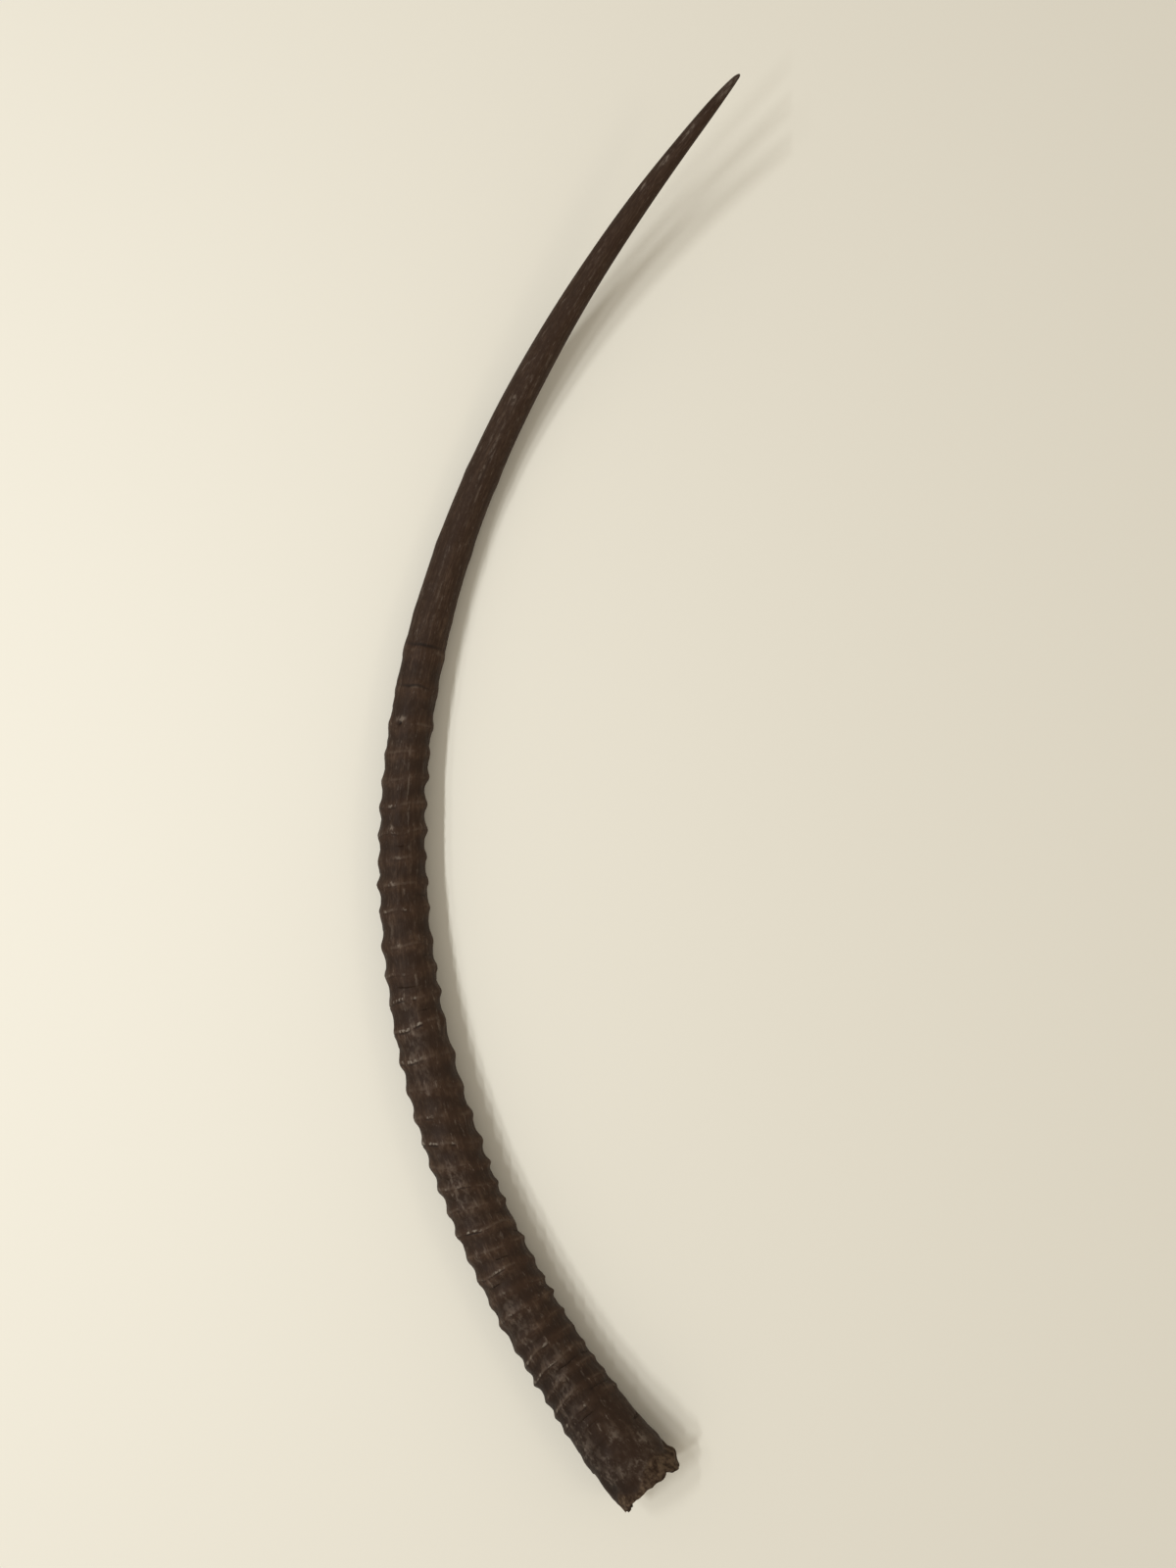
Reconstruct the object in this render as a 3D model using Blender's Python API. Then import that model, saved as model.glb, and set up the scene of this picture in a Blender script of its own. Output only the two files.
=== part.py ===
"""One long, curved, ringed antelope horn, lying on its side.

Metres, +Z up. The horn leaves its open base along +Y and curves towards +X, and
the surface it lies on is z = 0. A share is a distance along the middle line,
0 at the base rim and 1 at the tip.
"""
import math

import bmesh
import bpy
from mathutils import Vector

# Driving dimensions
LENGTH = 1.0                    # along the middle line, from the rim to the tip
BASE_HALF_WIDTH = 0.0210        # of the plain taper at the base, without the flare
TAPER = 0.0131                  # half-width that the plain taper loses by the tip
POINT_POWERS = (6.1, 0.42)      # how suddenly and how bluntly the tip closes
RIM_FLARE = 0.0030              # how far the rim widens past the plain taper
FLARE_REACH = 0.107             # share over which the flare dies away
FLATNESS = 0.94                 # height of a section over its width
TURN = (68.7, 67.6, -48.1, -3.5)    # degrees turned by the tip, for each power of the share
LIFT_FROM = 0.66                # share where the underside leaves the surface
TIP_LIFT = 0.060                # how far the tip's underside is off the surface
LIFT_POWER = 1.75

# Growth rings
RING_STOPS = (                  # a ring's number and its share; the rings between are even
    (0, 0.040), (4, 0.085), (8, 0.141), (12, 0.204), (16, 0.267),
    (20, 0.339), (24, 0.416), (28, 0.481), (33, 0.585),
)
RING_RELIEF = 0.0010            # half of crest to valley
RELIEF_FADE = 0.16              # share over which the last rings flatten out
RING_LEAN = 0.0045              # how far the first rings lean to the tip on the inner side

# The socket that the bony core leaves in the base
SOCKET_DEPTH = 0.16
SOCKET_TOP_RADIUS = 0.0075
RIM_WALL = 0.0045               # thickness of the wall at the rim

# Resolution
SIDES = 20                      # corners round a section, one of them at the very bottom
SECTIONS_PER_RING = 4
PLAIN_SECTIONS = 26             # above the last ring
SOCKET_SECTIONS = 9
PATH_STEPS = 800
AIM_STEPS = 8                   # steps each way that a section's direction is taken over

HORN_COLOUR = (0.046, 0.030, 0.021, 1.0)
HORN_ROUGHNESS = 0.55


def smooth_step(value):
    value = min(max(value, 0.0), 1.0)
    return value * value * (3.0 - 2.0 * value)


def half_width(share):
    """Half the width of the horn between its rings."""
    sudden, blunt = POINT_POWERS
    taper = BASE_HALF_WIDTH - TAPER * share
    point = max(1.0 - share ** sudden, 0.0) ** blunt
    return taper * point + RIM_FLARE * smooth_step((FLARE_REACH - share) / FLARE_REACH)


def relief(share):
    """Half the height of a ring: none at the rim and above the last ring."""
    first_ring, last_ring = RING_STOPS[0][1], RING_STOPS[-1][1]
    grown = smooth_step(share / first_ring)
    left = smooth_step((last_ring + 0.02 - share) / RELIEF_FADE)
    return RING_RELIEF * grown * left


def middle_height(share):
    """Height of the middle line, which keeps the ring crests on the surface."""
    raised = max(share - LIFT_FROM, 0.0) / (1.0 - LIFT_FROM)
    return FLATNESS * half_width(share) + relief(share) + TIP_LIFT * raised ** LIFT_POWER


def heading(share):
    """The middle line's direction in plan, in radians from +X."""
    turned = sum(part * share ** power for power, part in enumerate(TURN, start=1))
    return math.radians(90.0 - turned)


def middle_path():
    """Points along the middle line, one for each step from the rim to the tip."""
    step = LENGTH / PATH_STEPS
    points = [Vector((0.0, 0.0, middle_height(0.0)))]
    for index in range(PATH_STEPS):
        rise = middle_height((index + 1) / PATH_STEPS) - middle_height(index / PATH_STEPS)
        run = math.sqrt(max(step ** 2 - rise ** 2, 0.0))
        aim = heading((index + 0.5) / PATH_STEPS)
        points.append(points[-1] + Vector((run * math.cos(aim), run * math.sin(aim), rise)))
    return points


def place_on_path(points, share):
    """The middle point at a share, with the inward and the upward direction there."""
    place = min(max(share, 0.0), 1.0) * PATH_STEPS
    index = min(int(place), PATH_STEPS - 1)
    centre = points[index].lerp(points[index + 1], place - index)
    behind = points[max(index - AIM_STEPS, 0)]
    ahead = points[min(index + AIM_STEPS, PATH_STEPS)]
    along = (ahead - behind).normalized() if share > 0.0 else Vector((0.0, 1.0, 0.0))
    inward = along.cross(Vector((0.0, 0.0, 1.0))).normalized()
    return centre, inward, inward.cross(along)


def section(points, share, half, height, lean=0.0):
    """A closed loop of corners round the middle line, its inner side leaning to the tip."""
    loop = []
    for corner in range(SIDES):
        angle = 2.0 * math.pi * corner / SIDES
        across, upright = math.cos(angle), math.sin(angle)
        centre, inward, up = place_on_path(points, share + lean * across / LENGTH)
        loop.append(centre + inward * (half * across) + up * (height * upright))
    return loop


def ring_shares():
    """The share of each ring's crest, evenly spaced from stop to stop."""
    shares = []
    for (first, low), (last, high) in zip(RING_STOPS, RING_STOPS[1:]):
        gap = (high - low) / (last - first)
        shares += [low + gap * count for count in range(last - first)]
    return shares + [RING_STOPS[-1][1]]


def ringed_sections(points, crests):
    """The ringed part, from the rim to the last crest."""
    loops = [section(points, 0.0, half_width(0.0), FLATNESS * half_width(0.0))]
    for low, high in zip([0.0] + crests, crests):
        for part in range(1, SECTIONS_PER_RING + 1):
            phase = part / SECTIONS_PER_RING
            share = low + (high - low) * phase
            wave = relief(share) * math.cos(2.0 * math.pi * phase)
            half = half_width(share)
            lean = RING_LEAN * smooth_step(share / crests[0]) * smooth_step(2.0 - 10.0 * share)
            loops.append(section(points, share, half + wave, FLATNESS * half + wave, lean))
    return loops


def plain_sections(points, last_crest):
    """The smooth part above the rings, with its sections closer together at the tip."""
    loops = []
    for index in range(1, PLAIN_SECTIONS + 1):
        left = 1.0 - index / (PLAIN_SECTIONS + 1)
        share = 1.0 - (1.0 - last_crest) * left ** 1.5
        half = half_width(share)
        loops.append(section(points, share, half, FLATNESS * half))
    return loops


def socket_sections(points):
    """The inside of the socket, from its closed top down to the mouth."""
    mouth = half_width(0.0) - RIM_WALL
    loops = []
    for index in range(SOCKET_SECTIONS + 1):
        depth = 1.0 - index / SOCKET_SECTIONS
        half = SOCKET_TOP_RADIUS + (mouth - SOCKET_TOP_RADIUS) * (1.0 - depth ** 2)
        loops.append(section(points, depth * SOCKET_DEPTH / LENGTH, half, FLATNESS * half))
    return loops


def loft(mesh, loops):
    """Bridge each loop to the next, and close the two ends with fans."""
    rows = []
    for loop in loops:
        corners = [mesh.verts.new(place) for place in loop]
        rows.append([mesh.edges.new((corners[i - 1], corners[i])) for i in range(SIDES)])
    for row, next_row in zip(rows, rows[1:]):
        bmesh.ops.bridge_loops(mesh, edges=row + next_row)
    caps = []
    for row in (rows[0], rows[-1]):
        filled = bmesh.ops.edgeloop_fill(mesh, edges=row)["faces"]
        caps += bmesh.ops.poke(mesh, faces=filled)["verts"]
    return caps


def horn_material():
    material = bpy.data.materials.new("horn")
    material.use_nodes = True
    shader = material.node_tree.nodes["Principled BSDF"]
    shader.inputs["Base Color"].default_value = HORN_COLOUR
    shader.inputs["Roughness"].default_value = HORN_ROUGHNESS
    shader.inputs["Metallic"].default_value = 0.0
    return material


def to_bottom_centre(mesh):
    """Move the mesh so that the middle of its box's underside is the origin."""
    places = [vert.co for vert in mesh.verts]
    low = Vector([min(place[axis] for place in places) for axis in range(3)])
    high = Vector([max(place[axis] for place in places) for axis in range(3)])
    middle = (low + high) / 2.0
    bmesh.ops.translate(mesh, verts=mesh.verts, vec=(-middle.x, -middle.y, -low.z))


def build_horn():
    """The sheath as one skin: up the outside to the tip and up inside the socket."""
    points = middle_path()
    crests = ring_shares()
    outside = ringed_sections(points, crests) + plain_sections(points, crests[-1])
    mesh = bmesh.new()
    socket_top, tip = loft(mesh, socket_sections(points) + outside)
    tip.co = points[-1]
    to_bottom_centre(mesh)
    bmesh.ops.triangulate(mesh, faces=mesh.faces)
    bmesh.ops.recalc_face_normals(mesh, faces=mesh.faces)
    data = bpy.data.meshes.new("horn")
    mesh.to_mesh(data)
    mesh.free()
    data.materials.append(horn_material())
    data.shade_smooth()
    data.set_sharp_from_angle(angle=math.radians(60.0))
    horn = bpy.data.objects.new("horn", data)
    bpy.context.collection.objects.link(horn)


for item in list(bpy.data.objects):
    bpy.data.objects.remove(item, do_unlink=True)
build_horn()
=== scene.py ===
# A long, curved, ringed antelope horn lying on a pale table top.
# It is modelled straight along +X, given its rings and wear, and then bent along its middle line.
import math

import bmesh
import bpy
import numpy as np
from mathutils import Euler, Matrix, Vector, noise


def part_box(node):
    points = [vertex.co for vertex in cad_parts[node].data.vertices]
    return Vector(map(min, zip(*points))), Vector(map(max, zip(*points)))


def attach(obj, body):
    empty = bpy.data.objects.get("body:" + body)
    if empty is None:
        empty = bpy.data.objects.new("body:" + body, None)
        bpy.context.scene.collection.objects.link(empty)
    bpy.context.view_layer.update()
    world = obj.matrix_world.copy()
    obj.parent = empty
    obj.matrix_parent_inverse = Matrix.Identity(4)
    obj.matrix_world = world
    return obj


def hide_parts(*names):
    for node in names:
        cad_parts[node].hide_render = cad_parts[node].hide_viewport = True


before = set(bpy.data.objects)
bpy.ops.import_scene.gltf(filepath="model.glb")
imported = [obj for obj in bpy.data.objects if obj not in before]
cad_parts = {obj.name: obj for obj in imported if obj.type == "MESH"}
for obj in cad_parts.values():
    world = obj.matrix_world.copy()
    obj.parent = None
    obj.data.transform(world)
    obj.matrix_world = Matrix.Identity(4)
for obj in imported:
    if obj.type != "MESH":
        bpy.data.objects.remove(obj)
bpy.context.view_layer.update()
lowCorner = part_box("horn")[0]
print("packed horn loaded")

# A share is a distance along the middle line in metres, and the horn is 1 m long.
horn = {
    "length": 1.0,
    "baseHalf": 0.0210,             # half-width of the plain taper at the base
    "taper": 0.0131,                # half-width lost by the tip
    "pointPowers": (6.1, 0.42),     # how suddenly and how bluntly the tip closes
    "rimFlare": 0.0030,
    "flareReach": 0.107,
    "flatness": 0.94,               # height of a section over its width
    "turn": (68.7, 67.6, -48.1, -3.5),   # degrees turned by the tip, for each power of the share
    "liftFrom": 0.66,
    "tipLift": 0.060,
    "tipSmooth": 0.03,              # share over which the bumps fade out at the tip
    "clearance": 0.00005,           # kept under the horn
    "restingShare": 0.95,           # how much of the crests' relief the underside may use
    "topRoom": 0.02,                # so much higher that the top has no limit
    "liftPower": 1.75,
    "pathPoints": 260,
    "sides": 90,
    "ringRows": 22,                 # cuts from ring to ring
    "rimRows": 40,
    "plainRows": 11,
    "plainStations": 14,            # above the last ring
    "closeRows": 0.010,             # how far past the last ring the rows stay close
    "socketRows": 2,
}

# Ring number and the share of its crest on the outer side of the bend; the rings between are even.
ringStops = (
    (0, 0.040), (2, 0.063), (4, 0.085), (7, 0.123), (8, 0.141), (12, 0.204), (16, 0.267),
    (19, 0.319), (20, 0.339), (23, 0.393), (24, 0.416), (29, 0.499), (31, 0.535), (33, 0.585),
)
ringCount = 34

rings = {
    "crestWidth": 0.26,             # share of the gap between two rings
    "valleyShare": 0.40,            # how much of the height lies below the plain taper
    # height from valley to crest by degrees round from the outer side of the bend
    "heightAt": ((0, 0.0018), (50, 0.0012), (90, 0.0010), (112, 0.0007), (132, 0.0003),
                 (148, 0.0004), (164, 0.0015), (180, 0.0025)),
    "weak": {0: 0.25, 1: 0.6},      # rings that are lower than their neighbours
    "underside": 0.62,              # how much of that height the underside has
    "unevenness": 0.35,
    "unevenWaves": 1.2,             # how often the unevenness changes on the way round
    "unevenStep": 7.3,              # sets each ring apart from the next
    "strengths": (0.75, 1.2),       # how much rings differ from one another
    "growFrom": 0.012,              # share where the rings start, and over which they grow
    "growOver": 0.07,
    "lateFrom": 0.44,               # share past which they get lower, over which, and how much
    "lateOver": 0.14,
    "lateLoss": 0.45,
    "lastValley": 0.016,
    "crestRelief": 0.001,           # how far the crests under the horn stand out
    "reliefFade": 0.16,             # share over which the last rings flatten out
    "crowding": 0.55,               # how much closer the rows stand at a crest
    "waver": 0.0011,                # how far a crest wanders along the horn
    "leanEnd": 0.66,                # share where the leaning and wavering end, and how gently
    "leanFade": 0.07,
    # ring number and how far its inner side leans to the tip
    "leanStops": ((0, 0.004), (3, 0.008), (7, 0.008), (9, -0.001), (13, -0.0055), (15.5, -0.012),
                  (18, -0.006), (20, 0.004), (24, 0.001), (29, 0.005), (33, 0.0)),
    # share and how far the top of a ring leans to the tip
    "topLeanStops": ((0.0, 0.0142), (0.107, 0.0095), (0.207, 0.006), (0.307, 0.003), (0.45, 0.0)),
    "topLeanSoft": 0.012,           # how gently that lean starts at the sides
    "lipDepth": 0.00035,            # crease on the base side of a crest
    "lipBehind": 0.0008,
    "lipHalf": 0.00045,
    "lipReach": 0.006,
    "lipBreaks": 0.006,             # length of the stretches that a crease is broken into
    "lipEdge": -0.30,               # across the top, where the creases die out, and how gently
    "lipSoft": 0.25,
    "lipUnder": 0.35,               # how far below the sides they reach, and how gently they end
    "lipUnderSoft": 0.3,
    "plainBoldness": (0.25, 0.65),  # of the rings that "bold" doesn't list
    "bold": {1: 0.5, 2: 0.65, 3: 0.6, 5: 0.7, 12: 0.8, 16: 1.0, 19: 0.7, 20: 1.0, 21: 0.9,
             24: 0.6, 28: 0.7, 32: 0.30, 33: 0.30},
    "faint": (0.610, 0.657, 0.708), # low swellings above the last ring
    "faintHeight": 0.0004,
    "faintHalf": 0.006,
}

# Lumps on the skin: height, length, seed and how far they are drawn out along the horn
skinLumps = {
    "onRings": ((0.00060, 0.011, 11.0, 1.0), (0.00032, 0.0045, 17.0, 1.0)),
    "everywhere": ((0.00016, 0.0042, 23.0, 14.0), (0.00035, 0.03, 29.0, 2.0)),
    "ringsEnd": 0.66,
    "ringsFade": 0.12,
    "around": 0.021,                # radius that the lumps are laid out on
}

# Swellings and dents: share, degrees round from the outer side of the bend, half-length,
# half-width in degrees, and height
rim = {
    "rounded": ((0.0, 0.0, 0.0090, 50.0, -0.0020), (0.0, 180.0, 0.0055, 32.0, -0.0026)),
    "knob": ((0.0100, 170.0, 0.0036, 16.0, 0.0022), (0.0165, 172.0, 0.0026, 16.0, -0.0015),
             (0.0235, 166.0, 0.0050, 20.0, 0.0009)),
    "crustWidth": 0.0085,
    "crustUneven": 0.0060,
    "crustInner": 0.009,            # how much wider it is on the inner side of the bend
    "crustEdge": 0.003,
    "crustWave": 0.012,             # length of its bays, and of its lumps
    "crustLump": 0.004,
    "crustHeight": 0.0004,
    "crustRough": 0.0007,
    "ragged": 0.0020,               # how unevenly the rim has broken away
    "raggedWave": 0.006,
    "chipDepth": 0.0030,
    "chipAt": 143.0,
    "chipHalf": 7.0,
    "endRough": 0.0006,             # on the broken end of the wall, and the length of its lumps
    "endWave": 0.0035,
    "reach": 0.02,                  # share over which the ragged rim fades into the shaft
}

damage = {
    "dents": ((0.0415, 172.0, 0.0009, 11.0, -0.0024), (0.538, 66.0, 0.0014, 6.0, -0.0016),
              (0.0145, 50.0, 0.004, 12.0, -0.0012)),
    "stepDepth": 0.0010,            # a flake lost from the outer side, up to this share
    "stepShare": 0.0325,
    "stepEdge": 0.0012,
    "stepHalf": 34.0,
    "crackDepth": 0.00025,
    "topFrom": -0.3,                # marks stay above this level, 1 at the very top
}

# Pale scuffs, and cracks darkened with painted shade: share, degrees round from the outer side of the bend,
# half-length, half-width in degrees, slant in degrees for each metre, and strength
scuffMarks = (
    (0.015, 116, 0.0050, 14, 0, 0.60), (0.019, 94, 0.0040, 12, 0, 0.55),
    (0.020, 64, 0.0050, 12, 0, 0.60), (0.028, 146, 0.0070, 9, 0, 0.55), (0.031, 78, 0.0060, 8, 0, 0.42),
    (0.036, 112, 0.0080, 7, 400, 0.45), (0.034, 52, 0.0060, 8, 0, 0.45),
    (0.046, 60, 0.0140, 16, 0, 0.27), (0.085, 88, 0.0200, 18, 0, 0.30), (0.140, 74, 0.0200, 20, 0, 0.30),
    (0.235, 80, 0.0250, 22, 0, 0.30), (0.330, 78, 0.0250, 24, 0, 0.25),
    (0.043, 52, 0.0070, 3.5, 300, 0.60), (0.049, 62, 0.0070, 3.2, 300, 0.60),
    (0.056, 45, 0.0060, 3.2, 200, 0.50), (0.058, 72, 0.0050, 3, 300, 0.45),
    (0.066, 57, 0.0060, 3.4, 200, 0.55), (0.081, 84, 0.0080, 3, 200, 0.35),
    (0.098, 110, 0.0110, 3, 100, 0.35), (0.120, 66, 0.0050, 4, 0, 0.45), (0.148, 78, 0.0030, 5, 0, 0.45),
    (0.171, 90, 0.0040, 4, 0, 0.40), (0.186, 60, 0.0030, 5, 0, 0.40), (0.222, 104, 0.0060, 3, 0, 0.35),
    (0.241, 72, 0.0030, 5, 0, 0.40), (0.299, 84, 0.0030, 5, 0, 0.35), (0.322, 62, 0.0030, 5, 0, 0.40),
    (0.360, 80, 0.0013, 5, 0, 1.4), (0.372, 108, 0.0080, 3, -100, 0.40), (0.3945, 77, 0.0013, 5, 0, 1.4),
    (0.404, 60, 0.0050, 5, 0, 0.35), (0.434, 73, 0.0013, 5, 0, 1.4), (0.469, 68, 0.0014, 6, 0, 1.5),
    (0.485, 110, 0.0380, 2.2, -210, 0.45), (0.524, 73, 0.0030, 6, 0, 0.50),
    (0.5405, 68, 0.0022, 11, 0, 1.3), (0.615, 96, 0.0200, 2.4, 0, 0.30),
    (0.652, 80, 0.0260, 2.4, -60, 0.30), (0.690, 108, 0.0200, 2.6, 40, 0.35),
    (0.720, 94, 0.0260, 2.2, 20, 0.80), (0.735, 74, 0.0140, 2.6, 0, 0.35),
    (0.760, 86, 0.0016, 7, 0, 1.8), (0.775, 104, 0.0200, 2.6, 0, 0.35),
    (0.792, 133, 0.0180, 2.6, 0, 0.60), (0.841, 110, 0.0150, 2.6, 0, 0.70),
    (0.862, 76, 0.0120, 3, 0, 0.35), (0.913, 65, 0.0022, 7, 0, 1.3), (0.9335, 77, 0.0050, 11, 0, 1.2),
    (0.955, 81, 0.0060, 12, 0, 1.1), (0.990, 114, 0.0080, 45, 0, 1.1),
)
crackMarks = (
    (0.0145, 50, 0.0035, 10, 0, 0.6), (0.038, 84, 0.0040, 10, 0, 0.35), (0.0720, 128, 0.0100, 2.4, 100, 0.4),
    (0.538, 66, 0.0015, 5.5, 0, 1.0), (0.562, 86, 0.0011, 44, 20, 1.0), (0.5895, 92, 0.0011, 62, 20, 1.0),
    (0.706, 99, 0.0220, 1.8, 20, 0.55), (0.725, 90, 0.0180, 1.8, 20, 0.45),
)

socket = {
    "depth": 0.16,
    "endHalf": 0.0075,
    "wall": 0.0045,
    "stations": 12,
    "outerEdge": 0.88,              # what is nearer the middle than this is the socket's wall
    "uneven": 0.0004,               # of the wall, and the length of its lumps
    "unevenWave": 0.008,
    "leanDepth": 0.05,              # how far in the wall follows the rim's slope
    "dullFrom": 0.03,               # how far in the crust's colour reaches
}


def smoothStep(value):
    value = np.clip(value, 0.0, 1.0)
    return value * value * (3.0 - 2.0 * value)


def readStops(stops, value):
    places, amounts = zip(*stops)
    return np.interp(value, places, amounts)


def halfWidth(share):
    sudden, blunt = horn["pointPowers"]
    plain = horn["baseHalf"] - horn["taper"] * share
    point = np.clip(1.0 - np.clip(share, 0.0, 1.0) ** sudden, 0.0, 1.0) ** blunt
    flare = horn["rimFlare"] * smoothStep((horn["flareReach"] - share) / horn["flareReach"])
    return plain * point + flare


def crestRelief(share):
    # how far below the plain taper the crests on the underside reach
    fade = (ringStops[-1][1] + 0.02 - share) / rings["reliefFade"]
    return rings["crestRelief"] * smoothStep(share / ringStops[0][1]) * smoothStep(fade)


def lift(share):
    raised = np.clip((share - horn["liftFrom"]) / (1.0 - horn["liftFrom"]), 0.0, 1.0)
    return horn["tipLift"] * raised ** horn["liftPower"]


def middleHeight(share):
    return float(horn["flatness"] * halfWidth(share) + crestRelief(share) + lift(share))


def heading(share):
    turned = sum(part * share ** power for power, part in enumerate(horn["turn"], start=1))
    return math.radians(90.0 - turned)


def middleLine():
    # the curve that the straight horn is bent along, from the middle of the rim to the tip
    count = horn["pathPoints"]
    step = horn["length"] / count
    points = [Vector((lowCorner.x + float(halfWidth(0.0)), lowCorner.y, middleHeight(0.0)))]
    for index in range(count):
        rise = middleHeight((index + 1) / count) - middleHeight(index / count)
        run = math.sqrt(max(step ** 2 - rise ** 2, 0.0))
        aim = heading((index + 0.5) / count)
        points.append(points[-1] + Vector((run * math.cos(aim), run * math.sin(aim), rise)))
    data = bpy.data.curves.new("middleLine", "CURVE")
    data.dimensions = "3D"
    data.twist_mode = "Z_UP"
    spline = data.splines.new("POLY")
    spline.points.add(count)
    for knot, place in zip(spline.points, points):
        knot.co = (*place, 1.0)
    line = bpy.data.objects.new("middleLine", data)
    bpy.context.collection.objects.link(line)
    return line


def ringShares():
    return [float(readStops(ringStops, number)) for number in range(ringCount)]


def plainShares():
    count = horn["plainStations"]
    last = ringShares()[-1]
    spread = [1.0 - (1.0 - last) * (1.0 - step / count) ** 1.5 for step in range(1, count)]
    return [last + horn["closeRows"]] + spread


def selectVertices(test):
    mesh = bmesh.from_edit_mesh(bpy.context.object.data)
    bpy.ops.mesh.select_all(action="DESELECT")
    for vertex in mesh.verts:
        vertex.select = test(vertex.co)
    mesh.select_flush(True)
    bmesh.update_edit_mesh(bpy.context.object.data)


def selectEdges(test):
    mesh = bmesh.from_edit_mesh(bpy.context.object.data)
    bpy.ops.mesh.select_all(action="DESELECT")
    for edge in mesh.edges:
        if test(edge.verts[0].co, edge.verts[1].co):
            edge.select = True
    bmesh.update_edit_mesh(bpy.context.object.data)


def extrudeTo(share, fromShare, half, fromHalf):
    bpy.ops.mesh.extrude_region_move(TRANSFORM_OT_translate={"value": (share - fromShare, 0, 0)})
    ratio = half / fromHalf
    bpy.ops.transform.resize(value=(1, ratio, ratio), center_override=(share, 0, 0))


def isInside(share, across):
    # true on the socket's wall, false on the outside
    return (share < socket["depth"] + 1e-4) & (across < socket["outerEdge"] * halfWidth(share))


def onSocket(place):
    return bool(isInside(place.x, math.hypot(place.y, place.z / horn["flatness"])))


def straightHorn():
    rimHalf = float(halfWidth(0.0))
    bpy.ops.object.select_all(action="DESELECT")
    bpy.ops.mesh.primitive_circle_add(vertices=horn["sides"], radius=rimHalf,
                                      rotation=(0, math.radians(90), 0))
    sheath = bpy.context.object
    sheath.name = "hornSheath"
    bpy.ops.object.transform_apply(location=False, rotation=True, scale=False)
    bpy.ops.object.mode_set(mode="EDIT")
    bpy.ops.mesh.select_mode(type="VERT")
    bpy.ops.mesh.select_all(action="SELECT")
    bpy.ops.transform.resize(value=(1, 1, horn["flatness"]), center_override=(0, 0, 0))
    share, half = 0.0, rimHalf
    for place in ringShares() + plainShares():      # up the outside
        wide = float(halfWidth(place))
        extrudeTo(place, share, wide, half)
        share, half = place, wide
    bpy.ops.mesh.extrude_region_move(TRANSFORM_OT_translate={"value": (1.0 - share, 0, 0)})
    bpy.ops.mesh.merge(type="CENTER")
    selectVertices(lambda place: abs(place.x) < 1e-6)
    mouth = rimHalf - socket["wall"]
    extrudeTo(0.0, 0.0, mouth, rimHalf)
    share, half = 0.0, mouth
    for step in range(1, socket["stations"] + 1):   # up the inside
        deep = step / socket["stations"]
        wide = mouth + (socket["endHalf"] - mouth) * deep ** 2
        extrudeTo(deep * socket["depth"], share, wide, half)
        share, half = deep * socket["depth"], wide
    bpy.ops.mesh.extrude_region_move()
    bpy.ops.mesh.merge(type="CENTER")
    return sheath


def addRows():
    # lengthwise edges are cut so that each stretch has the rows that its detail needs
    firstCrest, lastCrest = ringShares()[0], ringShares()[-1]
    bands = (
        (firstCrest, lastCrest, horn["ringRows"]),
        (0.0, firstCrest, horn["rimRows"]),
        (lastCrest, 1.0, horn["plainRows"]),
    )
    bpy.ops.mesh.select_mode(type="EDGE")
    for low, high, cuts in bands:
        selectEdges(lambda a, b: abs(a.x - b.x) > 1e-6 and not onSocket(a) and not onSocket(b)
                    and low - 1e-5 < min(a.x, b.x) and max(a.x, b.x) < high + 1e-5)
        bpy.ops.mesh.subdivide(number_cuts=cuts)
    selectEdges(lambda a, b: abs(a.x - b.x) > 1e-6 and onSocket(a) and onSocket(b))
    bpy.ops.mesh.subdivide(number_cuts=horn["socketRows"])
    selectEdges(lambda a, b: max(a.x, b.x) < 1e-6 and onSocket(a) != onSocket(b))
    bpy.ops.mesh.subdivide(number_cuts=horn["socketRows"] + 1)
    bpy.ops.mesh.select_mode(type="VERT")
    bpy.ops.mesh.select_all(action="SELECT")
    bpy.ops.mesh.normals_make_consistent(inside=False)
    bpy.ops.object.mode_set(mode="OBJECT")


def lumps(along, skin, size, seed, stretch=1.0):
    # smooth noise over the skin: size is a lump's length in metres, stretch draws it out lengthwise
    scale = 1.0 / size
    around = skinLumps["around"] * scale
    places = zip(along.tolist(), skin.side.tolist(), skin.up.tolist())
    return np.array([noise.noise(Vector((a * scale / stretch + seed, s * around, u * around + seed)))
                     for a, s, u in places])


def dent(along, across, share, place, length, width):
    # 1 in the middle of a spot on the skin, falling to 0 round it
    return np.exp(-((along - share) / length) ** 2 - ((across - place) / width) ** 2)


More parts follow.
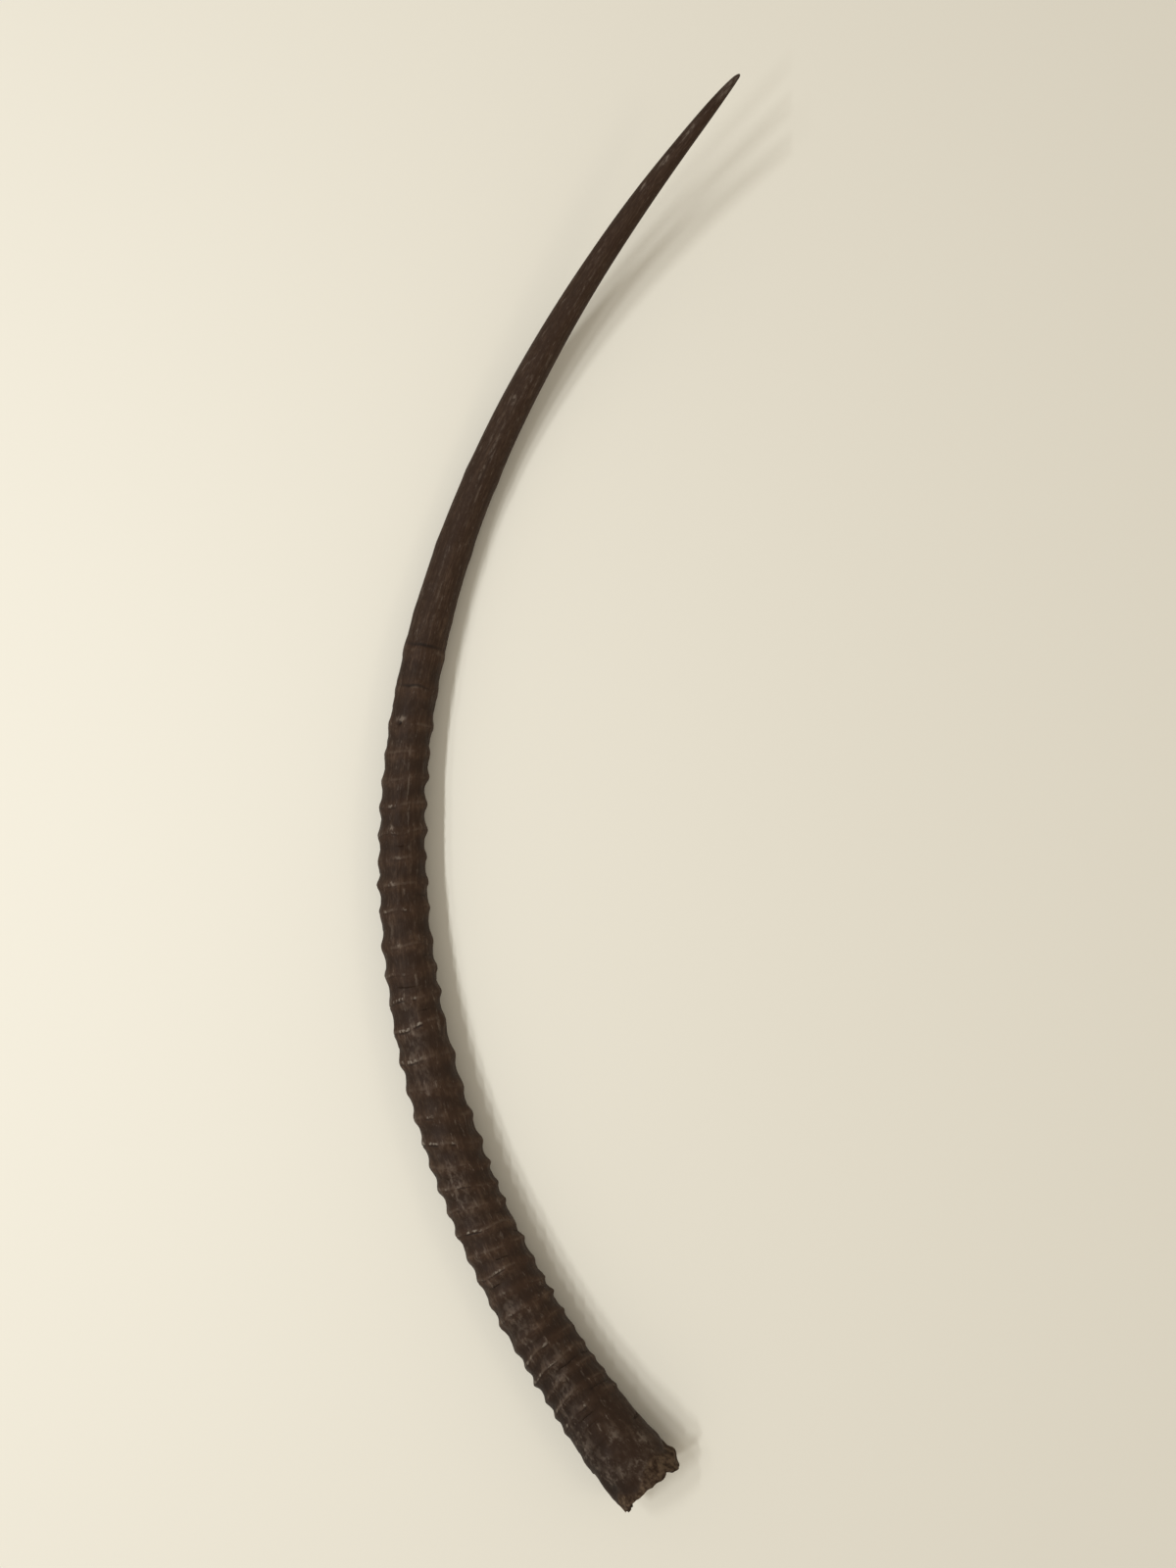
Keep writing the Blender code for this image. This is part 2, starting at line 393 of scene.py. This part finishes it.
class Skin:
    # every point of the straight horn: its place, the way round, and the ring that it is nearest to
    def __init__(self, mesh):
        flat = np.empty(len(mesh.vertices) * 3)
        mesh.vertices.foreach_get("co", flat)
        self.x, y, z = flat.reshape(-1, 3).T
        turn = np.arctan2(z / horn["flatness"], y)
        self.across = np.hypot(y, z / horn["flatness"])
        self.inside = isInside(self.x, self.across)
        self.pole = self.across < 1e-6
        self.side, self.up = np.cos(turn), np.sin(turn)
        self.degrees = np.degrees(np.abs(turn))
        self.top = self.up > damage["topFrom"]
        self.countRings()

    def countRings(self):
        x = self.x
        self.crests = crests = np.array(ringShares())
        self.number = np.interp(x, crests, np.arange(ringCount))
        band = np.clip(np.floor(self.number), 0, ringCount - 2).astype(int)
        phase = self.number - band
        phase = phase - rings["crowding"] / (2 * math.pi) * np.sin(2 * math.pi * phase)
        self.gap = crests[band + 1] - crests[band]
        self.ringed = (x >= crests[0]) & (x <= crests[-1])
        self.along = np.where(self.ringed, crests[band] + self.gap * phase, x)
        past = np.where(phase < 0.5, phase * self.gap, (phase - 1.0) * self.gap)
        past = np.where(x < crests[0], x - crests[0], np.where(x > crests[-1], x - crests[-1], past))
        self.past = past
        self.nearest = np.clip(np.round(self.number), 0, ringCount - 1)
        places = zip(self.nearest.tolist(), self.side.tolist(), self.up.tolist())
        step, waves = rings["unevenStep"], rings["unevenWaves"]
        self.uneven = np.array([noise.noise(Vector((n * step, s * waves, u * waves))) for n, s, u in places])


def ringBumps(skin):
    # the rings, and the low swellings above the last one
    along, up = skin.along, skin.up
    height = readStops(rings["heightAt"], skin.degrees)
    height = height * np.where(up < 0, 1.0 + (rings["underside"] - 1.0) * smoothStep(-up * 2.0), 1.0)
    height = height * (1.0 + rings["unevenness"] * 2.0 * skin.uneven)
    grown = smoothStep((along - rings["growFrom"]) / rings["growOver"])
    late = smoothStep((along - rings["lateFrom"]) / rings["lateOver"])
    height = height * grown * (1.0 - rings["lateLoss"] * late)
    strength = np.random.default_rng(7).uniform(*rings["strengths"], ringCount)
    for ring, weak in rings["weak"].items():
        strength[ring] = weak
    height = height * np.interp(skin.number, np.arange(ringCount), strength)
    crest = np.exp(-(skin.past / (rings["crestWidth"] * skin.gap)) ** 2)
    valley = smoothStep((skin.crests[-1] + rings["lastValley"] - along) / rings["lastValley"])
    bump = height * (crest - rings["valleyShare"] * valley)
    for swelling in rings["faint"]:
        bump += rings["faintHeight"] * np.exp(-((along - swelling) / rings["faintHalf"]) ** 2)
    return bump


def ringLips(skin):
    # how strongly the crease beside each crest shows, in its depth, its painted shade and the painted
    # highlights beside it: bold, faint or broken off
    boldness = np.random.default_rng(4).uniform(*rings["plainBoldness"], ringCount)
    for ring, bold in rings["bold"].items():
        boldness[ring] = bold
    broken = lumps(skin.nearest * 0.05, skin, rings["lipBreaks"], 3.0)
    lip = boldness[skin.nearest.astype(int)]
    lip = lip * smoothStep((skin.side - rings["lipEdge"]) / rings["lipSoft"] + 0.5)
    lip = lip * smoothStep((skin.up + rings["lipUnder"]) / rings["lipUnderSoft"])
    lip = lip * np.clip(0.8 + 1.1 * broken, 0.0, 1.2)
    return np.where((skin.past > -rings["lipReach"]) & (skin.past < rings["lipReach"]), lip, 0.0)


def lumpyBumps(skin):
    ringed = smoothStep((skinLumps["ringsEnd"] - skin.along) / skinLumps["ringsFade"])
    bump = np.zeros_like(skin.x)
    for height, size, seed, stretch in skinLumps["onRings"]:
        bump += height * ringed * lumps(skin.along, skin, size, seed, stretch)
    for height, size, seed, stretch in skinLumps["everywhere"]:
        bump += height * lumps(skin.along, skin, size, seed, stretch)
    return bump


def rimCrust(skin):
    # how far a point belongs to the crust at the rim
    wide = rim["crustWidth"] + rim["crustUneven"] * lumps(skin.along * 0, skin, rim["crustWave"], 37.0)
    wide = wide + rim["crustInner"] * smoothStep(-skin.side)
    return smoothStep((wide - skin.x) / rim["crustEdge"])


def wornBumps(skin, crust):
    # the crust, the worn rim with its knob, and the damage
    x, degrees, top = skin.x, skin.degrees, skin.top
    bump = crust * (rim["crustHeight"] + rim["crustRough"] * lumps(x, skin, rim["crustLump"], 41.0))
    for share, place, length, width, height in rim["rounded"]:
        bump += height * dent(x, degrees, share, place, length, width)
    for share, place, length, width, height in rim["knob"] + damage["dents"]:
        bump += height * top * dent(skin.along, degrees, share, place, length, width)
    step = dent(x * 0, degrees, 0.0, 0.0, 1.0, damage["stepHalf"])
    return bump - damage["stepDepth"] * step * smoothStep((damage["stepShare"] - x) / damage["stepEdge"])


def drawMarks(marks, skin):
    # how strongly each point of the skin's upper side is marked
    drawn = np.zeros_like(skin.along)
    for share, place, length, width, slant, strength in marks:
        slanted = skin.degrees - slant * (skin.along - share)
        drawn = np.maximum(drawn, strength * dent(skin.along, slanted, share, place, length, width))
    return skin.top * drawn


def slideRows(skin):
    # where each row ends up along the horn: rings lean and waver, and the rim is broken
    x, side, up = skin.x, skin.side, skin.up
    ragged = rim["ragged"] * np.abs(lumps(skin.along * 0, skin, rim["raggedWave"], 43.0))
    chip = dent(x * 0, skin.degrees, 0.0, rim["chipAt"], 1.0, rim["chipHalf"])
    ragged += rim["chipDepth"] * skin.top * chip
    ringsOnly = smoothStep(x / skin.crests[0]) * smoothStep((rings["leanEnd"] - x) / rings["leanFade"])
    lean = readStops(rings["leanStops"], skin.number) * (1.0 - side) / 2.0 * ringsOnly
    waver = rings["waver"] * 2.0 * skin.uneven * ringsOnly
    topLean = readStops(rings["topLeanStops"], x) * (up + np.sqrt(up ** 2 + rings["topLeanSoft"])) / 2.0
    placed = np.where(skin.inside, x, skin.along + lean + waver)
    fade = np.where(skin.inside, smoothStep(1.0 - x / socket["leanDepth"]), 1.0)
    placed = placed + topLean * fade + ragged * smoothStep(1.0 - x / rim["reach"])
    return np.where(skin.pole, x, placed)


def shapeHorn(sheath):
    mesh = sheath.data
    skin = Skin(mesh)
    x, side, up = skin.x, skin.side, skin.up
    lip = ringLips(skin)
    crust = rimCrust(skin)
    cracked = drawMarks(crackMarks, skin)
    shadedCrease = np.exp(-((skin.past + rings["lipBehind"]) / rings["lipHalf"]) ** 2)
    bump = ringBumps(skin) - rings["lipDepth"] * lip * shadedCrease
    bump += lumpyBumps(skin) + wornBumps(skin, crust) - damage["crackDepth"] * cracked

    # nothing on the underside reaches below the surface that the crests rest on
    resting = horn["restingShare"] * crestRelief(skin.along) + lift(skin.along) - horn["clearance"]
    bump = np.minimum(bump, resting + horn["topRoom"] * smoothStep(1.0 + up * 1.6))

    # widths from where the rows end up
    placed = slideRows(skin)
    outer = np.where(x > skin.crests[-1], halfWidth(x), halfWidth(np.clip(placed, 0.0, 1.0)))
    bump = bump * smoothStep((1.0 - x) / horn["tipSmooth"])
    wall = skin.across + socket["uneven"] * lumps(x, skin, socket["unevenWave"], 47.0)
    wide = np.where(skin.inside, wall, outer + bump)
    high = np.where(skin.inside, wide, outer + bump / horn["flatness"])
    wide = np.where(skin.pole, 0.0, wide)
    high = np.where(skin.pole, 0.0, high)
    onEnd = skin.inside & (x < 1e-6)
    broken = rim["endRough"] * lumps(skin.across, skin, rim["endWave"], 53.0)
    placed = placed + np.where(onEnd, broken, 0.0)
    moved = np.stack((placed, wide * side, high * horn["flatness"] * up), axis=1)
    mesh.vertices.foreach_set("co", moved.ravel())

    # what the material reads
    cycle = np.where(np.abs(skin.past) < skin.gap, skin.past / skin.gap, 0.5) * 2 * math.pi
    cycle = np.where(skin.ringed, cycle, np.clip(cycle, -math.pi, math.pi))
    store(mesh, "grain", np.stack((skin.along, side, up), axis=1))
    store(mesh, "cycle", np.stack((np.cos(cycle), np.sin(cycle), skin.gap * 1000.0), axis=1))
    # the lips' strength also sets their painted shade and painted highlights
    store(mesh, "lip", lip)
    store(mesh, "scuffed", np.where(skin.inside, 0.0, drawMarks(scuffMarks, skin)))
    store(mesh, "cracked", np.where(skin.inside, 0.0, cracked))
    store(mesh, "crust", np.where(skin.inside, 1.0, crust))
    store(mesh, "hollow", np.where(skin.inside, smoothStep(x / socket["dullFrom"]), 0.0))
    mesh.update()


def store(mesh, name, values):
    kind = "FLOAT_VECTOR" if values.ndim == 2 else "FLOAT"
    layer = mesh.attributes.new(name, kind, "POINT")
    layer.data.foreach_set("vector" if values.ndim == 2 else "value", values.astype(np.float32).ravel())


def bendHorn(sheath, line):
    bend = sheath.modifiers.new("bend", "CURVE")
    bend.object = line
    bend.deform_axis = "POS_X"
    bpy.ops.object.select_all(action="DESELECT")
    sheath.select_set(True)
    bpy.context.view_layer.objects.active = sheath
    bpy.ops.object.modifier_apply(modifier="bend")
    bpy.data.objects.remove(line)
    bpy.ops.object.shade_smooth()


# Keratin: dark brown and fibrous, a little darker on the outer side of the bend, worn on the rings, with
# painted light and shade on the rings and painted shade in the cracks.
keratin = {
    "innerDark": (0.0330, 0.0165, 0.0086, 1),
    "innerLight": (0.0850, 0.0520, 0.0320, 1),
    "outerDark": (0.0270, 0.0132, 0.0068, 1),
    "outerLight": (0.0760, 0.0460, 0.0290, 1),
    "baseShade": (0.60, 0.59, 0.58, 1),     # over the outer side near the rim
    "scuff": (0.128, 0.097, 0.075, 1),
    "scuffMark": (0.140, 0.108, 0.084, 1),
    "worn": (0.092, 0.064, 0.045, 1),
    # painted highlights on the ring lips
    "highlight": (0.22, 0.185, 0.150, 1),
    # painted shade in the creases under the ring lips and in the cracks
    "shadedCrease": (0.0105, 0.0056, 0.0032, 1),
    "crustDark": (0.026, 0.0138, 0.0074, 1),
    "crustLight": (0.112, 0.075, 0.047, 1),
    "hollow": (0.030, 0.021, 0.014, 1),
    "roughness": 0.62,
    "shine": 0.15,
    "sway": 0.22,
    "toneRange": (0.46, 0.70),      # noise that goes from dark to light
    "scuffRange": (0.57, 0.72),
    "crustRange": (0.36, 0.70),
    "ridgeLightAndShade": (0.80, 1.16),     # painted shade in the valleys and painted light on the crests
    # millimetres past a crest where each one starts and where it ends
    "wornBand": ((-0.2, 0.5), (1.0, 2.6)),
    # the band of painted shade in the crease under a lip
    "creaseShadeBand": ((-1.9, -0.9), (-0.6, 0.1)),
    # the band of painted highlights on the tip side of a lip
    "highlightBand": ((-0.5, 0.2), (1.0, 2.2)),
    "bumpStrength": 0.7,
    "bumpDepth": 0.0012,
}


class Nodes:
    # short ways to add and join a material's nodes
    def __init__(self, material):
        self.tree = material.node_tree

    def add(self, kind, **settings):
        node = self.tree.nodes.new(kind)
        for name, value in settings.items():
            setattr(node, name, value)
        return node

    def feed(self, socket, value):
        if isinstance(value, bpy.types.NodeSocket):
            self.tree.links.new(value, socket)
        elif value is not None:
            socket.default_value = value

    def math(self, operation, a, b=None, c=None, clamp=False):
        node = self.add("ShaderNodeMath", operation=operation, use_clamp=clamp)
        for socket, value in zip(node.inputs, (a, b, c)):
            self.feed(socket, value)
        return node.outputs[0]

    def vector(self, operation, a, b):
        node = self.add("ShaderNodeVectorMath", operation=operation)
        self.feed(node.inputs[0], a)
        self.feed(node.inputs[1], b)
        return node.outputs[0]

    def attribute(self, name, output="Fac"):
        return self.add("ShaderNodeAttribute", attribute_name=name).outputs[output]

    def combine(self, x, y, z):
        node = self.add("ShaderNodeCombineXYZ")
        for socket, value in zip(node.inputs, (x, y, z)):
            self.feed(socket, value)
        return node.outputs[0]

    def split(self, vector):
        node = self.add("ShaderNodeSeparateXYZ")
        self.feed(node.inputs[0], vector)
        return node.outputs

    def noise(self, vector, scale, detail, roughness):
        # scale is one number for each direction: along, side and up
        node = self.add("ShaderNodeTexNoise")
        self.feed(node.inputs["Vector"], self.vector("MULTIPLY", vector, scale))
        node.inputs["Scale"].default_value = 1.0
        node.inputs["Detail"].default_value = detail
        node.inputs["Roughness"].default_value = roughness
        return node.outputs["Fac"]

    def ease(self, value, low, high, toLow=0.0, toHigh=1.0):
        node = self.add("ShaderNodeMapRange", interpolation_type="SMOOTHSTEP")
        self.feed(node.inputs["Value"], value)
        for name, amount in zip(("From Min", "From Max", "To Min", "To Max"), (low, high, toLow, toHigh)):
            node.inputs[name].default_value = amount
        return node.outputs["Result"]

    def band(self, value, rise, fall):
        # 1 between two slopes, and 0 beyond them
        return self.math("MULTIPLY", self.ease(value, *rise), self.ease(value, *fall, 1.0, 0.0))

    def blend(self, amount, a, b, kind="MIX"):
        node = self.add("ShaderNodeMix", data_type="RGBA", blend_type=kind)
        self.feed(node.inputs[0], amount)
        self.feed(node.inputs[6], a)
        self.feed(node.inputs[7], b)
        return node.outputs[2]


def fibreColour(n, grain, along, side):
    # fibres that wander a little along the horn, with mottling and broad patches over them
    sway = n.noise(grain, (22.0, 2.0, 2.0), 2.0, 0.5)
    sideways = n.combine(0.0, n.math("MULTIPLY", sway, keratin["sway"]), 0.0)
    swayed = n.vector("ADD", grain, sideways)
    fibres = n.noise(swayed, (34.0, 13.0, 13.0), 5.0, 0.62)
    threads = n.noise(swayed, (95.0, 38.0, 38.0), 3.0, 0.6)
    patches = n.noise(grain, (46.0, 1.6, 1.6), 4.0, 0.6)
    mottle = n.noise(grain, (190.0, 5.0, 5.0), 4.0, 0.65)
    streak = n.math("ADD", n.math("MULTIPLY", fibres, 0.70), n.math("MULTIPLY", threads, 0.30))
    cloud = n.math("ADD", n.math("MULTIPLY", mottle, 0.6), n.math("MULTIPLY", patches, 0.4))

    # more fibrous above the rings, and darker near the rim
    fibrous = n.ease(along, 0.35, 0.70, 0.36, 0.50)
    tone = n.math("ADD", cloud, n.math("MULTIPLY", n.math("SUBTRACT", streak, cloud), fibrous))
    tone = n.math("MULTIPLY", n.ease(tone, *keratin["toneRange"]), n.ease(along, 0.02, 0.16, 0.70, 1.0))
    inner = n.blend(tone, keratin["innerDark"], keratin["innerLight"])
    outer = n.blend(tone, keratin["outerDark"], keratin["outerLight"])
    colour = n.blend(n.ease(side, -0.75, 0.65), inner, outer)
    baseSide = n.math("MULTIPLY", n.ease(side, -0.2, 0.6, 0.42, 1.0), n.ease(along, 0.17, 0.06))
    colour = n.blend(baseSide, colour, keratin["baseShade"], "MULTIPLY")
    return colour, swayed, streak, patches, mottle


def scuffedColour(n, colour, swayed, mottle, along):
    # pale scuffs, more of them near the base, the marks, and painted shade in the cracks
    scuffs = n.noise(swayed, (120.0, 6.0, 6.0), 5.0, 0.7)
    amount = n.math("MULTIPLY", n.ease(scuffs, *keratin["scuffRange"]), n.ease(along, 0.0, 0.5, 0.80, 0.66))
    colour = n.blend(amount, colour, keratin["scuff"])
    amount = n.math("MULTIPLY", n.attribute("scuffed"), n.ease(mottle, 0.44, 0.60, 0.10, 1.35), clamp=True)
    colour = n.blend(amount, colour, keratin["scuffMark"])
    return n.blend(n.attribute("cracked"), colour, keratin["shadedCrease"])


def ringedColour(n, colour, grain, patches, along, up):
    # painted light on the crests and painted shade in the valleys, worn crests, painted shade in the creases
    # and painted highlights on the lips
    cosine, sine, gap = n.split(n.attribute("cycle", "Vector"))
    lip = n.attribute("lip")
    turn = n.math("DIVIDE", n.math("ARCTAN2", sine, cosine), 2 * math.pi)
    past = n.math("MULTIPLY", turn, gap)            # millimetres past the crest
    ringed = n.math("MULTIPLY", n.ease(along, 0.60, 0.59), n.ease(along, 0.045, 0.075))
    # painted shade in the ring valleys and painted light on their crests
    ridgeShading = n.ease(cosine, -1.0, 1.0, *keratin["ridgeLightAndShade"])
    colour = n.blend(ringed, colour, n.combine(ridgeShading, ridgeShading, ridgeShading), "MULTIPLY")
    worn = n.math("MULTIPLY", n.band(past, *keratin["wornBand"]), n.ease(patches, 0.42, 0.62))
    worn = n.math("MULTIPLY", worn, n.math("MULTIPLY", ringed, 0.45))
    colour = n.blend(worn, colour, keratin["worn"])
    # painted shade in the crease on the base side of each crest
    lipCreaseShade = n.math("MULTIPLY", n.band(past, *keratin["creaseShadeBand"]), n.ease(lip, 0.30, 1.0, 0.0, 0.75))
    colour = n.blend(lipCreaseShade, colour, keratin["shadedCrease"])
    # painted highlights in dots on the tip side of each lip, fading away from the top
    highlightDots = n.noise(grain, (330.0, 7.5, 7.5), 2.0, 0.5)
    paintedHighlight = n.math("MULTIPLY", n.band(past, *keratin["highlightBand"]), n.ease(highlightDots, 0.48, 0.62, 0.0, 0.9))
    paintedHighlight = n.math("MULTIPLY", paintedHighlight, n.ease(up, 0.05, 0.60, 0.12, 1.0))
    paintedHighlight = n.math("MULTIPLY", paintedHighlight, n.ease(lip, 0.35, 0.90), clamp=True)
    return n.blend(paintedHighlight, colour, keratin["highlight"])


def keratinMaterial():
    material = bpy.data.materials.new("hornKeratin")
    material.use_nodes = True
    shader = material.node_tree.nodes["Principled BSDF"]
    n = Nodes(material)
    grain = n.attribute("grain", "Vector")
    along, side, up = n.split(grain)
    crust = n.attribute("crust")
    colour, swayed, streak, patches, mottle = fibreColour(n, grain, along, side)
    colour = scuffedColour(n, colour, swayed, mottle, along)
    colour = ringedColour(n, colour, grain, patches, along, up)

    # crust at the rim, and the dull inside
    rough = n.noise(grain, (230.0, 6.0, 6.0), 5.0, 0.65)
    crustColour = n.blend(n.ease(rough, *keratin["crustRange"]), keratin["crustDark"], keratin["crustLight"])
    colour = n.blend(crust, colour, crustColour)
    colour = n.blend(n.attribute("hollow"), colour, keratin["hollow"])
    n.feed(shader.inputs["Base Color"], colour)
    shader.inputs["Specular IOR Level"].default_value = keratin["shine"]

    gloss = n.math("ADD", keratin["roughness"], n.math("MULTIPLY", n.math("SUBTRACT", patches, 0.5), 0.25))
    gloss = n.math("ADD", gloss, n.math("MULTIPLY", crust, 0.3), clamp=True)
    n.feed(shader.inputs["Roughness"], gloss)
    relief = n.math("ADD", n.math("MULTIPLY", streak, 0.35), n.math("MULTIPLY", mottle, 0.6))
    relief = n.math("ADD", relief, n.math("MULTIPLY", rough, n.math("MULTIPLY", crust, 0.6)))
    bump = n.add("ShaderNodeBump")
    bump.inputs["Strength"].default_value = keratin["bumpStrength"]
    bump.inputs["Distance"].default_value = keratin["bumpDepth"]
    n.feed(bump.inputs["Height"], relief)
    n.feed(shader.inputs["Normal"], bump.outputs["Normal"])
    return material


# Table top, lights and camera
table = {"size": 30.0, "colour": (0.80, 0.77, 0.68, 1), "roughness": 0.6}

camera = {
    "fromRim": (0.2665, 0.3746),    # from the middle of the rim
    "height": 0.7833,
    "turn": -40.88,
    "lens": 27.0,
    "sensor": 36.0,
}

# Ceiling lamps: their place to the right of, up from and over the middle of the view,
# width, length up the view, power and colour
lamps = (
    ("nearLamp", (-1.08, -0.09, 1.72), (0.06, 0.45), 9.0, (0.96, 0.985, 1.0)),
    ("upperLamp", (-1.08, 0.66, 1.72), (0.06, 0.45), 7.6, (0.96, 0.985, 1.0)),
    ("lowerLamp", (-1.08, -0.84, 1.72), (0.06, 0.45), 7.2, (0.96, 0.985, 1.0)),
    ("outerLamp", (-1.45, 0.10, 1.72), (0.10, 0.80), 3.4, (0.98, 0.985, 1.0)),
    ("farLamp", (1.70, -0.30, 1.90), (0.40, 0.80), 2.8, (1.0, 0.93, 0.80)),
)
skyLight = {"colour": (1.0, 0.918, 0.79, 1), "strength": 0.51}


def paleTable():
    bpy.ops.object.select_all(action="DESELECT")
    bpy.ops.mesh.primitive_plane_add(size=table["size"], location=(0, 0, lowCorner.z))
    bpy.ops.object.transform_apply(location=True)
    top = bpy.context.object
    top.name = "tableTop"
    material = bpy.data.materials.new("palePaint")
    material.use_nodes = True
    shader = material.node_tree.nodes["Principled BSDF"]
    shader.inputs["Base Color"].default_value = table["colour"]
    shader.inputs["Roughness"].default_value = table["roughness"]
    top.data.materials.append(material)


def viewMiddle():
    rimMiddle = Vector((lowCorner.x + float(halfWidth(0.0)), lowCorner.y, 0.0))
    return rimMiddle + Vector((*camera["fromRim"], 0.0))


def lightTable():
    turn = math.radians(camera["turn"])
    for name, place, size, power, colour in lamps:
        data = bpy.data.lights.new(name, "AREA")
        data.shape = "RECTANGLE"
        data.size, data.size_y = size
        data.energy = power
        data.color = colour
        lamp = bpy.data.objects.new(name, data)
        lamp.location = Vector(place)
        lamp.location.rotate(Euler((0, 0, turn)))
        lamp.location += viewMiddle()
        lamp.rotation_euler = (0, math.atan2(place[0], place[2]), turn)     # tipped towards the horn
        bpy.context.collection.objects.link(lamp)
    world = bpy.data.worlds.new("softRoom")
    world.use_nodes = True
    world.node_tree.nodes["Background"].inputs[0].default_value = skyLight["colour"]
    world.node_tree.nodes["Background"].inputs[1].default_value = skyLight["strength"]
    bpy.context.scene.world = world
    bpy.context.scene.view_settings.view_transform = "Standard"


def placeCamera():
    data = bpy.data.cameras.new("overhead")
    data.lens = camera["lens"]
    data.sensor_width = camera["sensor"]
    eye = bpy.data.objects.new("overhead", data)
    eye.location = viewMiddle() + Vector((0, 0, camera["height"]))
    eye.rotation_euler = (0, 0, math.radians(camera["turn"]))
    bpy.context.collection.objects.link(eye)
    bpy.context.scene.camera = eye


sheath = straightHorn()
addRows()
print("straight horn:", len(sheath.data.vertices), "vertices")
shapeHorn(sheath)
print("rings, crust and wear shaped")
bendHorn(sheath, middleLine())
sheath.data.materials.clear()
sheath.data.materials.append(keratinMaterial())
print("horn bent and finished")
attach(sheath, "root")
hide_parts("horn")

paleTable()
lightTable()
placeCamera()
print("table, lights and camera placed")
